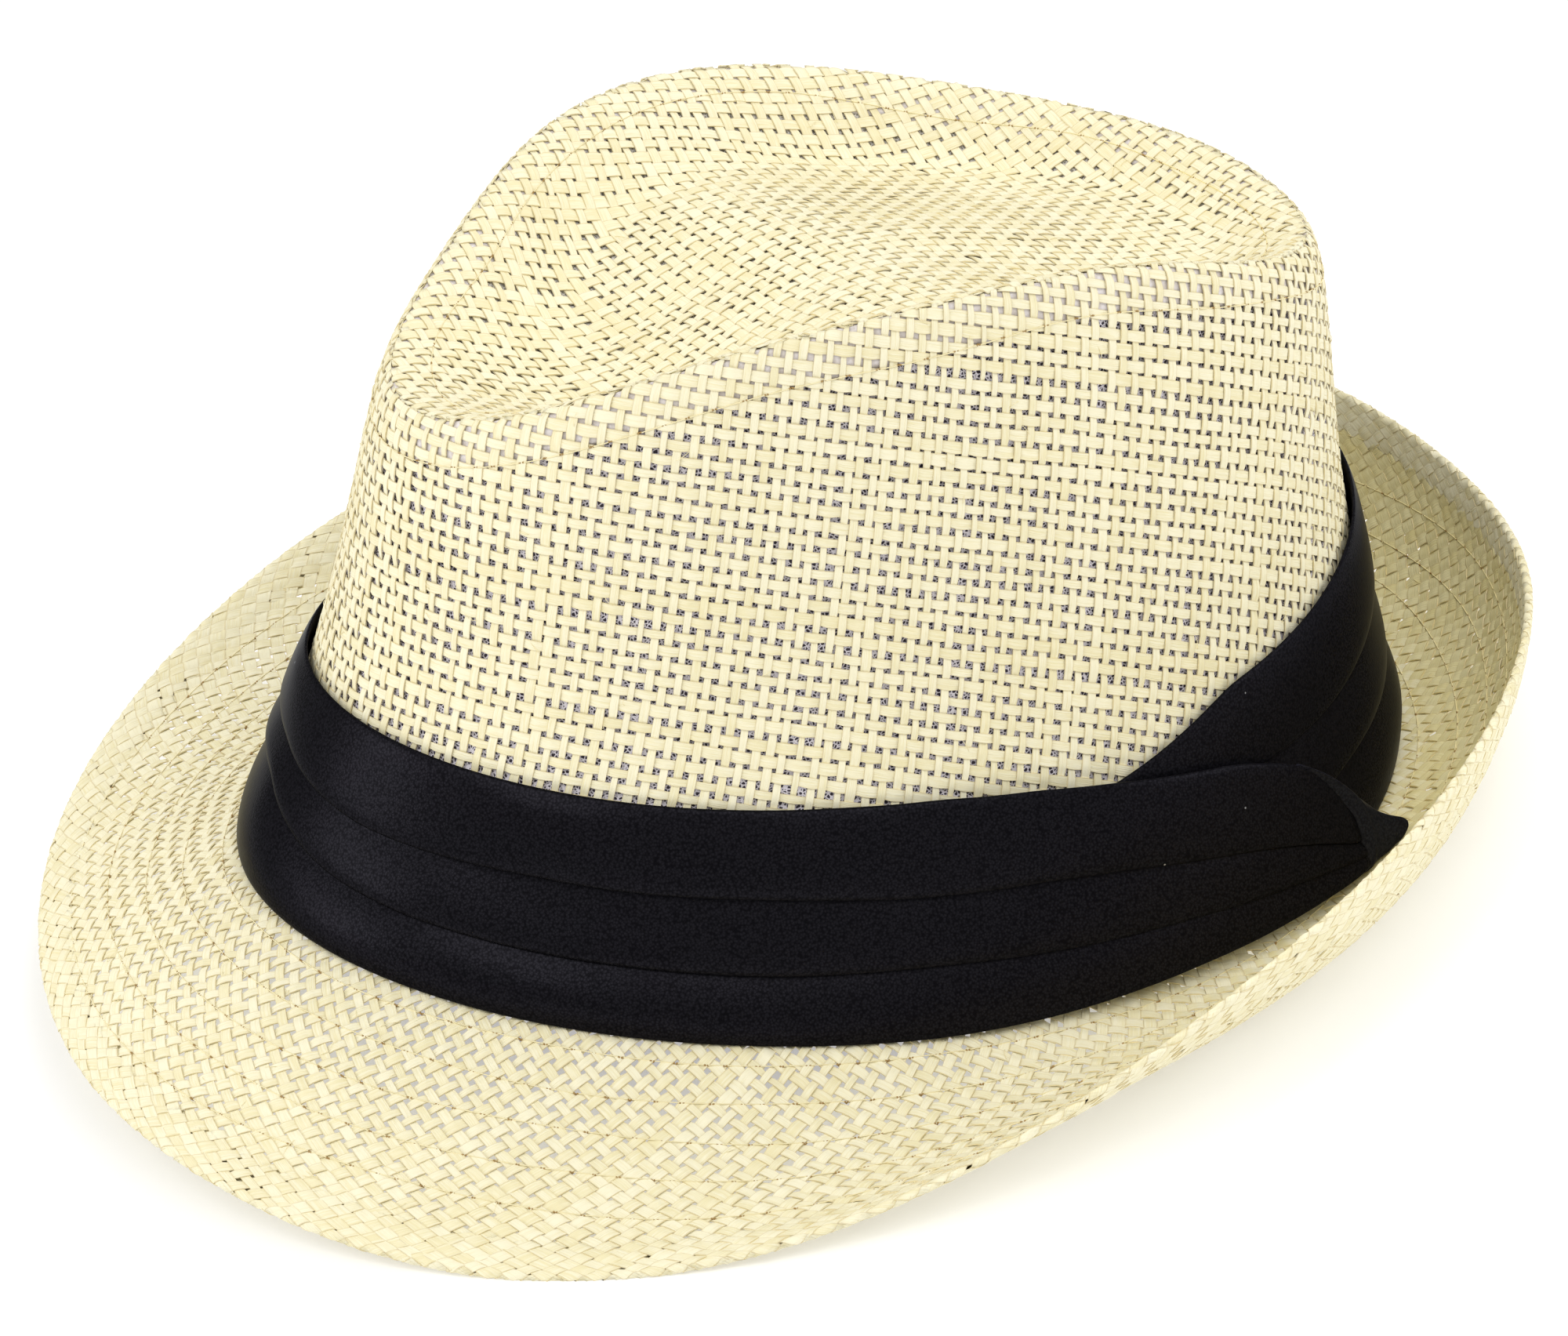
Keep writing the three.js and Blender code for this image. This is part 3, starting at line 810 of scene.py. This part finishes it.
def skin_area(grid):
    """Area of a ring of points in square metres."""
    closed = np.concatenate([grid, grid[:1]])
    a, b = np.diff(closed, axis=0), np.diff(closed, axis=1)
    return float(np.linalg.norm(np.cross(a[:, :-1], b[:-1]), axis=-1).sum()) / 1e6


NET_OUTER, NET_MIDDLE, NET_INNER = 1.1, 1.25, 1.4  # depths below the hat's outer face


def lining():
    """Net bag behind the straw: up the wall, and under the dented top."""
    t = np.linspace(0, 2 * np.pi, 181)[:-1, None]
    up = np.linspace(0.01, 1, 34)[None]
    under = np.linspace(1, 0.02, 40)[None]

    def wall_skin(d):
        return offset(wall, OUT_OF_WALL, t, up, -d)

    def top_skin(d):
        return offset(dent, OUT_OF_DENT, t, under, -d)

    for part, skin, material, measure in (
        ("side", wall_skin, NET, up_and_around), ("top", top_skin, NET_TOP, over_the_middle),
    ):
        net = closed_sheet(f"net_lining_{part}", skin(NET_OUTER), skin(NET_INNER), material)
        finish_piece(net, "lining", "crown_lining")
        middle = skin(NET_MIDDLE)
        flat, area = measure(middle), skin_area(middle)


SEAM_DOWN, SEAM_IN = 8.5, 8.0     # how far the seam allowance reaches on each side
SEAM_OUTER, SEAM_INNER = 0.82, 0.98  # its depths below the hat's outer face


def seam_backing():
    """The folded-in seam allowance under the ridge, on the wall and under the top."""
    t = np.linspace(0, 2 * np.pi, 241)[:-1, None]
    share = np.linspace(1, 0, 7)[None]
    t1, d1 = straight(t, UP_WALL.full(t[:, 0])[:, None] - share * SEAM_DOWN - 0.3)
    t2, d2 = straight(t, OVER_DENT.full(t[:, 0])[:, None] - share[:, ::-1] * SEAM_IN - 0.8)

    def skin(d):
        low = offset(wall, OUT_OF_WALL, t1, UP_WALL.at(t1, d1), -d)
        top = offset(dent, OUT_OF_DENT, t2, OVER_DENT.at(t2, d2), -d)
        return np.concatenate([low, top], 1)

    tape = closed_sheet("seam_backing", skin(SEAM_OUTER), skin(SEAM_INNER), SEAM)
    finish_piece(tape, "straw")


def tube(name, paths, radii, material, slot):
    """Thin closed threads along the given paths, as one piece; thicker where they dip."""
    sides = 5
    angle = np.linspace(0, 2 * np.pi, sides, endpoint=False)
    points, faces, dips, count = [], [], [], 0
    for path, radius in zip(paths, radii):
        n = len(path)
        radius = np.broadcast_to(radius, n)
        tangent = unit(np.gradient(path, axis=0))
        helper = unit(np.cross(tangent, np.array([0.3, 0.2, 0.93])))
        other = np.cross(tangent, helper)
        ring = helper[:, None] * np.cos(angle)[None, :, None]
        ring = ring + other[:, None] * np.sin(angle)[None, :, None]
        points.append((path[:, None] + ring * radius[:, None, None]).reshape(-1, 3))
        dips.append(np.repeat(radius > radius.min() * 1.05, sides))
        faces += ring_quads(n, sides, count, flipped=True)
        faces.append([count + j for j in reversed(range(sides))])
        faces.append([count + (n - 1) * sides + j for j in range(sides)])
        count += n * sides
    values = {"dip": np.concatenate(dips).astype(float)}
    return finish_piece(
        add_mesh(name, np.concatenate(points), faces, material, values=values), slot
    )


STITCH = 4.3                      # length of a stitch
THREAD_RADIUS = 0.10
CROWN_LIFT, BRIM_LIFT = 0.28, 0.32  # height of a row above the middle of its cloth
ROW_BELOW_RIDGE, ROW_INSIDE_RIDGE = 8.6, 7.0
# a stitch in profile: share of its length, height above the straw, thickness
STITCH_RISE = np.array([
    [0.0, -0.55, 1.6], [0.05, -0.10, 1.9], [0.12, 0.02, 1], [0.5, 0.05, 1], [0.88, 0.02, 1],
    [0.95, -0.10, 1.9],
])


def stitch_row(rng, surface, sign, reach, distance, wobble, above):
    """One closed row of machine stitches at a distance run along the surface."""
    t = np.linspace(0, 2 * np.pi, 721)
    wave = sum(rng.uniform(0.3, 1) * np.sin(k * t + rng.uniform(0, 6)) for k in range(2, 12))
    wave = wave * wobble
    s = reach.at(t, distance(t) + wave)
    line = surface(t, s)
    run = np.concatenate([[0], np.cumsum(np.linalg.norm(np.diff(line, axis=0), axis=1))])
    count = int(run[-1] / STITCH)
    jitter = np.append(np.append(0, rng.uniform(-0.2, 0.2, count - 1)), 0)
    holes = (np.arange(count + 1) + jitter) / count
    at = holes[:-1, None] + np.diff(holes)[:, None] * STITCH_RISE[None, :, 0]
    height = np.tile(STITCH_RISE[:, 1], count) - CLOTH_MIDDLE + above
    t = np.interp(at.ravel() * run[-1], run, t)
    wave = np.interp(t, np.linspace(0, 2 * np.pi, 721), wave)
    path = offset(surface, sign, t, reach.at(t, distance(t) + wave), height)
    return path, np.tile(STITCH_RISE[:, 2], count) * THREAD_RADIUS


def stitching():
    """Machine stitching below the ridge, inside it, and in rings round the brim."""
    rng = np.random.default_rng(5)

    def below(t):
        return UP_WALL.full(t) - ROW_BELOW_RIDGE

    def inside(t):
        return OVER_DENT.full(t) - ROW_INSIDE_RIDGE

    side = stitch_row(rng, wall, OUT_OF_WALL, UP_WALL, below, 0.16, CROWN_LIFT)
    top = stitch_row(rng, dent, OUT_OF_DENT, OVER_DENT, inside, 0.22, CROWN_LIFT)
    paths, radii = zip(side, top)
    tube("stitches_crown", paths, radii, THREAD, "straw")
    rings = []
    for row in BRIM_STITCHES:
        def distance(t, row=row):
            return np.minimum(row, OVER_BRIM.full(t) - 4)
        rings.append(stitch_row(rng, brim, OUT_OF_BRIM, OVER_BRIM, distance, 0.14, BRIM_LIFT))
    paths, radii = zip(*rings)
    tube("stitches_brim", paths, radii, THREAD, "straw")


# where fibres stand off: surface, outward sign, reach, how many, and the run along the
# surface at which they start, from its own start and from its far edge
FRAYED = (
    (brim, OUT_OF_BRIM, OVER_BRIM, 170, 2, -7), (dent, OUT_OF_DENT, OVER_DENT, 60, 20, -3),
    (wall, OUT_OF_WALL, UP_WALL, 90, 42, -2),
)
FIBRE_RADIUS, LOOSE_END_RADIUS = 0.05, 0.16


def loose_fibres():
    """Frayed straw fibres standing off the weave, and one loose end of straw by the knot."""
    rng = np.random.default_rng(9)
    x = np.linspace(0, 1, 6)
    paths = []
    for surface, sign, reach, count, low, high in FRAYED:
        for _ in range(count):
            t0 = rng.uniform(0, 2 * np.pi)
            d0 = rng.uniform(low, float(reach.full(t0)) + high)
            length, angle = rng.uniform(1.5, 4.5), rng.uniform(0, 2 * np.pi)
            turn = angle + rng.normal(0, 0.5) * x
            t = t0 + np.cumsum(np.cos(turn)) * length / 6 / 95
            d = d0 + np.cumsum(np.sin(turn)) * length / 6
            lift = rng.uniform(0.15, 0.5) * np.sin(np.pi * x * rng.uniform(0.5, 1)) - 0.25
            paths.append(offset(surface, sign, t, reach.at(t, d), lift))
    a = np.linspace(0, 1, 12)
    t = np.radians(128.6 + 1.1 * np.sin(3.6 * a))
    d = OVER_BRIM.full(t) - 3.5 + 2.2 * np.cos(3.6 * a)
    end = offset(brim, OUT_OF_BRIM, t, OVER_BRIM.at(t, d), 0.2 + 1.6 * a)
    radii = [FIBRE_RADIUS] * len(paths) + [LOOSE_END_RADIUS]
    tube("loose_fibres", [*paths, end], radii, THREAD, "straw")


# along the band's strip: degrees, share of the height at the top edge, lift of the lower
# edge, stand-off of the lower and upper edge, depth of the pleats, and the height of the
# lower and the upper pleat's folded edge; PLAIN_RUN has only the first and the last two
PLAIN_RUN = [
    [175, 0.33, 0.62], [300, 0.32, 0.62], [325, 0.42, 0.66], [343, 0.49, 0.70],
    [351, 0.485, 0.69], [355, 0.43, 0.665], [360, 0.385, 0.635], [366, 0.345, 0.612],
    [373, 0.32, 0.60], [384, 0.298, 0.618], [400, 0.31, 0.64],
]
STRIP = np.array([
    [98, 0.84, 0, 0, 0, 0, 0.30, 0.63], [104, 0.89, 0, 0, 0, 0.05, 0.30, 0.63],
    [115, 1.00, 0, 0, 0, 0.15, 0.30, 0.62], [132, 1.00, 0, 0, 0, 0.3, 0.32, 0.62],
    [152, 1.00, 0, 0, 0, 0.75, 0.33, 0.62],
    *[[at, 1.00, 0, 0, 0, 1, low, high] for at, low, high in PLAIN_RUN],
    [420, 1.00, 0, 0, 0, 0.9, 0.312, 0.625], [430, 1.00, 0, 0.4, 0.2, 0.75, 0.312, 0.62],
    [440, 0.99, 0.2, 1.4, 0.8, 0.62, 0.305, 0.605], [450, 0.95, 1.0, 2.6, 1.8, 0.5, 0.29, 0.60],
    [458, 0.89, 2.0, 3.7, 2.7, 0.42, 0.275, 0.585], [465, 0.82, 2.3, 4.1, 2.9, 0.36, 0.25, 0.545],
    [472, 0.745, 2.2, 4.8, 3.1, 0.3, 0.22, 0.49], [476.5, 0.667, 2.2, 5.4, 3.4, 0.25, 0.205, 0.45],
    [480.8, 0.575, 2.1, 6.1, 3.7, 0.2, 0.18, 0.40], [484.0, 0.458, 2.0, 6.7, 4.0, 0.2, 0.16, 0.36],
    [485.4, 0.385, 2.0, 6.8, 4.3, 0.2, 0.16, 0.36], [486.2, 0.32, 2.0, 6.8, 4.5, 0.2, 0.16, 0.36],
])
FOLD_AT = (0.295, 0.63)            # the folded edges' heights in FOLDS
# the pleated satin in section, from the hidden hem at the foot to the one at the top:
# share of the height, stand-off of its layer, stand-out that grows with the pleats' depth
FOLDS = np.array([
    [0.16, -1.30, 0], [0.05, -1.25, 0], [0.0, -1.05, 0], [-0.012, -0.60, 0.1], [0.0, -0.30, 0.7],
    [0.03, -0.25, 1.35], [0.08, -0.25, 1.95], [0.13, -0.25, 2.05], [0.18, -0.26, 1.75],
    [0.225, -0.28, 1.20], [0.262, -0.32, 0.62], [0.285, -0.40, 0.28], [0.32, -0.52, 0.06],
    [0.38, -0.75, 0], [0.44, -1.0, 0], [0.462, -0.97, 0], [0.44, -0.74, 0], [0.38, -0.42, 0],
    [0.325, -0.24, 0.06], [0.302, -0.10, 0.20], [0.293, 0.0, 0.38], [0.2955, 0.03, 0.56],
    [0.306, 0.06, 0.78], [0.325, 0.08, 0.96], [0.355, 0.08, 1.06], [0.40, 0.05, 1.0],
    [0.46, -0.02, 0.74], [0.52, -0.12, 0.42], [0.57, -0.26, 0.14], [0.61, -0.44, 0.0],
    [0.68, -0.66, 0], [0.76, -0.88, 0], [0.782, -0.82, 0], [0.76, -0.62, 0],
    [0.70, -0.38, 0.02], [0.655, -0.20, 0.08], [0.636, -0.10, 0.18], [0.628, 0.0, 0.34],
    [0.6305, 0.04, 0.50], [0.641, 0.08, 0.70], [0.66, 0.12, 0.86], [0.69, 0.15, 0.94],
    [0.75, 0.18, 0.92], [0.83, 0.18, 0.80], [0.91, 0.14, 0.58], [0.965, 0.05, 0.28],
    [1.0, -0.12, 0.03], [1.0, -0.42, 0], [0.95, -0.60, 0], [0.88, -0.62, 0],
])
SATIN_THICK = 0.22


def curve_through(rows, count):
    """A smooth curve through rows of numbers, evenly timed from row to row."""
    last = len(rows) - 1
    x = np.linspace(0, last, count)
    i = np.minimum(x.astype(int), last - 1)
    f = (x - i)[:, None]
    a, b, c, d = [rows[np.clip(i + k, 0, last)] for k in (-1, 0, 1, 2)]
    square, cube = 2 * a - 5 * b + 4 * c - d, 3 * b - a - 3 * c + d
    return 0.5 * (2 * b + (c - a) * f + square * f**2 + cube * f**3)


def strip_at(degrees, k):
    """A column of STRIP, with its corners rounded off."""
    near = [np.interp(degrees + x, STRIP[:, 0], STRIP[:, k]) for x in (-1.5, -0.5, 0.5, 1.5)]
    return sum(near) / 4


def refold(height, low, high):
    """Moves the folds' heights in FOLDS to where they lie at this place round the hat."""
    first, second = FOLD_AT
    middle = low + (height - first) * (high - low) / (second - first)
    upper = high + (height - second) * (1 - high) / (1 - second)
    return np.where(height < first, height * low / first, np.where(height < second, middle, upper))


def band_points(d, section):
    """Middle of the satin for degrees d (rows) and the section's points (columns)."""
    t = np.radians(d)
    height, layer, out = section[:, 0][None], section[:, 1][None], section[:, 2][None]
    columns = [strip_at(d, n) for n in range(1, 8)]
    share, lift, off_foot, off_top, depth, low_fold, high_fold = columns
    slack = 0.008 * np.sin(3 * t + 5 * height) + 0.006 * np.sin(7 * t + 1.3 + 9 * height)
    slack = slack + 0.004 * np.sin(13 * t + 4.1 - 6 * height)
    slack = slack * smooth(height / 0.1) * smooth((1 - height) / 0.1)
    height = refold(height, low_fold, high_fold) + slack
    low = foot(t)
    low[..., 2] += GAP
    p = low + (band_top(t) - low) * (height * share)[..., None]
    inside = np.clip(height, 0, 1)
    away = off_foot + (off_top - off_foot) * inside + layer + out * depth + 25 * slack * depth
    p = p + outward(t) * away[..., None]
    p[..., 2] += lift * (1 - inside) + 0.12
    return p


GATHER_FROM = 430                 # degrees past which the strip is sampled more finely
LONG_ROWS, GATHER_ROWS, ACROSS = 230, 76, 110


def band():
    """Black satin, pleated in three and wound once round the crown."""
    start, end = STRIP[0, 0], STRIP[-1, 0]
    plain = np.linspace(start, GATHER_FROM, LONG_ROWS)
    gathered = np.linspace(GATHER_FROM, end, GATHER_ROWS)[1:]
    degrees = np.concatenate([plain, gathered])
    p = band_points(degrees[:, None], curve_through(FOLDS, ACROSS))
    n = unit(np.cross(np.gradient(p, axis=0), np.gradient(p, axis=1)))
    points = np.concatenate([p + n * SATIN_THICK / 2, (p - n * SATIN_THICK / 2)[:, ::-1]], 1)
    count, m = points.shape[:2]
    faces = ring_quads(count, m)
    last = (count - 1) * m
    for j in range(m // 2 - 1):
        k = m - 1 - j
        faces.append([j, j + 1, k - 1, k])
        faces.append([last + j, last + k, last + k - 1, last + j + 1])
    piece = add_mesh("satin_band", points.reshape(-1, 3), faces, SATIN)
    finish_piece(piece, "satin", "band")


# the wrap in sections, from the gathered edge to the tip: degrees, share of the band's
# height and stand-off of each section's top, the same for its bottom, then its half
# thickness and how far its middle bows towards the tip, in degrees
KNOT = np.array([
    [120.5, 0.586, 3.7, 124.6, 0.04, 6.2, 0.7, 2.8],
    [120.9, 0.583, 4.2, 125.0, 0.03, 6.7, 1.1, 2.9],
    [122.0, 0.550, 4.9, 126.0, 0.02, 7.3, 1.5, 2.6],
    [123.5, 0.500, 5.4, 126.9, 0.02, 7.8, 1.8, 2.1],
    [125.6, 0.415, 5.8, 127.8, 0.02, 7.6, 1.8, 1.4],
    [127.4, 0.330, 6.1, 128.5, 0.02, 7.6, 1.8, 0.8],
    [128.8, 0.262, 6.6, 129.2, 0.02, 7.7, 1.7, 0.4],
    [129.9, 0.207, 7.2, 130.0, 0.02, 7.9, 1.6, 0.2],
    [131.0, 0.165, 7.8, 130.9, 0.03, 8.2, 1.35, 0],
    [132.0, 0.135, 8.3, 131.8, 0.035, 8.5, 1.1, 0],
    [132.7, 0.115, 8.6, 132.5, 0.05, 8.7, 0.8, 0],
    [133.0, 0.098, 8.7, 132.9, 0.065, 8.7, 0.35, 0],
])


def knot():
    """The wrap over the gathered end, drawn out to a blunt point."""
    sides = 56
    a = np.linspace(0, 2 * np.pi, sides, endpoint=False)[None]
    rows = curve_through(KNOT, 60)
    top, bottom = [rows[:, None, k : k + 3] for k in (0, 3)]
    thick, bow = rows[:, None, 6], rows[:, None, 7]
    up = 0.5 + 0.5 * np.sin(a)
    spine = bottom + (top - bottom) * up[..., None]
    degrees = spine[..., 0] + bow * 4 * up * (1 - up)
    flank = np.sign(np.cos(a)) * np.abs(np.cos(a)) ** 0.75
    pucker = 0.10 * np.sin(9 * up + 2.2 * rows[:, None, 2]) * np.sin(np.pi * up) * (thick > 0.9)
    away = spine[..., 2] + thick * (flank - 1) + pucker
    t = np.radians(degrees)
    low = foot(t)
    low[..., 2] += GAP
    p = low + (band_top(t) - low) * spine[..., 1, None] + outward(t) * away[..., None]
    n = len(rows)
    ends = np.stack([p[0].mean(0), p[-1].mean(0)])
    faces = ring_quads(n, sides, flipped=True)
    for j in range(sides):
        k = (j + 1) % sides
        faces.append([n * sides, k, j])
        faces.append([n * sides + 1, (n - 1) * sides + j, (n - 1) * sides + k])
    piece = add_mesh("satin_knot", np.concatenate([p.reshape(-1, 3), ends]), faces, SATIN_PAINTED_SHEEN)
    finish_piece(piece, "satin", "band_knot")


CAMERA_TURNS = (63.9, 27.3, -1.19)  # azimuth, elevation and roll in degrees
CAMERA_AWAY = 1100                # from the point that it looks at
CAMERA_SHIFT = (-5.13, -25.5)     # moved aside and down, so the hat sits as in the photo
CAMERA_TARGET = (0, 0, 50)
LENS, SENSOR = 149.094, 36


def camera():
    """A long lens at the photo's angle, placed in the hat's own plane and leant with it."""
    az, el, roll = [math.radians(a) for a in CAMERA_TURNS]
    back = np.array([math.sin(az) * math.cos(el), -math.cos(az) * math.cos(el), math.sin(el)])
    right = np.array([math.cos(az), math.sin(az), 0])
    up = np.cross(back, right)
    x_axis = math.cos(roll) * right + math.sin(roll) * up
    y_axis = -math.sin(roll) * right + math.cos(roll) * up
    place = np.array(CAMERA_TARGET) + CAMERA_AWAY * back
    place = place + CAMERA_SHIFT[0] * x_axis + CAMERA_SHIFT[1] * y_axis
    c, s = math.cos(REST_TILT), math.sin(REST_TILT)
    lean = np.array([[1, 0, 0], [0, c, s], [0, -s, c]])
    axes = [lean @ v for v in (x_axis, y_axis, back)]
    data = bpy.data.cameras.new("camera")
    data.lens = LENS
    data.sensor_width = SENSOR
    data.clip_end = 20
    thing = bpy.data.objects.new("camera", data)
    rows = np.column_stack([*axes, settle(place)]).tolist()
    thing.matrix_world = Matrix([*rows, [0, 0, 0, 1]])
    bpy.context.scene.collection.objects.link(thing)
    bpy.context.scene.camera = thing


# soft boxes: degrees round from the front, degrees up, and power in watts
LAMPS = {
    "front_low": (-19, 20, 5.2), "key_left": (25, 52, 5.0), "key_right": (92, 52, 4.4),
    "side_back": (150, 22, 4.2), "back": (210, 55, 5.0),
}
LAMP_AWAY, LAMP_SIZE, LAMP_TARGET = 1.4, 0.7, (0, 0, 0.05)


def lights():
    """An even white sky, and square soft boxes at one distance from the hat."""
    world = bpy.data.worlds.new("studio")
    world.use_nodes = True
    world.node_tree.nodes["Background"].inputs["Color"].default_value = (1, 1, 1, 1)
    world.node_tree.nodes["Background"].inputs["Strength"].default_value = 0.5
    bpy.context.scene.world = world
    bpy.context.scene.view_settings.view_transform = "Standard"

    for name, (degrees_round, degrees_up, power) in LAMPS.items():
        data = bpy.data.lights.new(name, "AREA")
        data.energy = power
        data.size = LAMP_SIZE
        turn, rise = math.radians(degrees_round), math.radians(degrees_up)
        flat = math.cos(rise)
        towards = Vector((math.sin(turn) * flat, -math.cos(turn) * flat, math.sin(rise)))
        thing = bpy.data.objects.new(name, data)
        thing.location = towards * LAMP_AWAY + Vector(LAMP_TARGET)
        thing.rotation_euler = (-towards).to_track_quat("-Z", "Y").to_euler()
        thing.visible_camera = False
        bpy.context.scene.collection.objects.link(thing)


FLOOR_HALF = 3.0                  # metres from the hat to the floor's edges


def pale_floor():
    """A plain floor that glows a little, so it reads as the photo's white ground."""
    mesh = bpy.data.meshes.new("floor")
    corners = [
        (x * FLOOR_HALF, y * FLOOR_HALF, 0) for x, y in ((-1, -1), (1, -1), (1, 1), (-1, 1))
    ]
    mesh.from_pydata(corners, [], [[0, 1, 2, 3]])
    m = Recipe("pale_floor")
    m.feed(m.shader, {
        "Base Color": (0.72, 0.72, 0.72, 1), "Roughness": 0.9,
        "Emission Color": (1, 1, 1, 1), "Emission Strength": 0.33,
    })
    mesh.materials.append(m.made)
    floor = bpy.data.objects.new("floor", mesh)
    bpy.context.scene.collection.objects.link(floor)


camera()
lights()
pale_floor()
crown_side()
crown_top()
brim_cloth(False)
brim_cloth(True)
lining()
seam_backing()
stitching()
loose_fibres()
band()
knot()
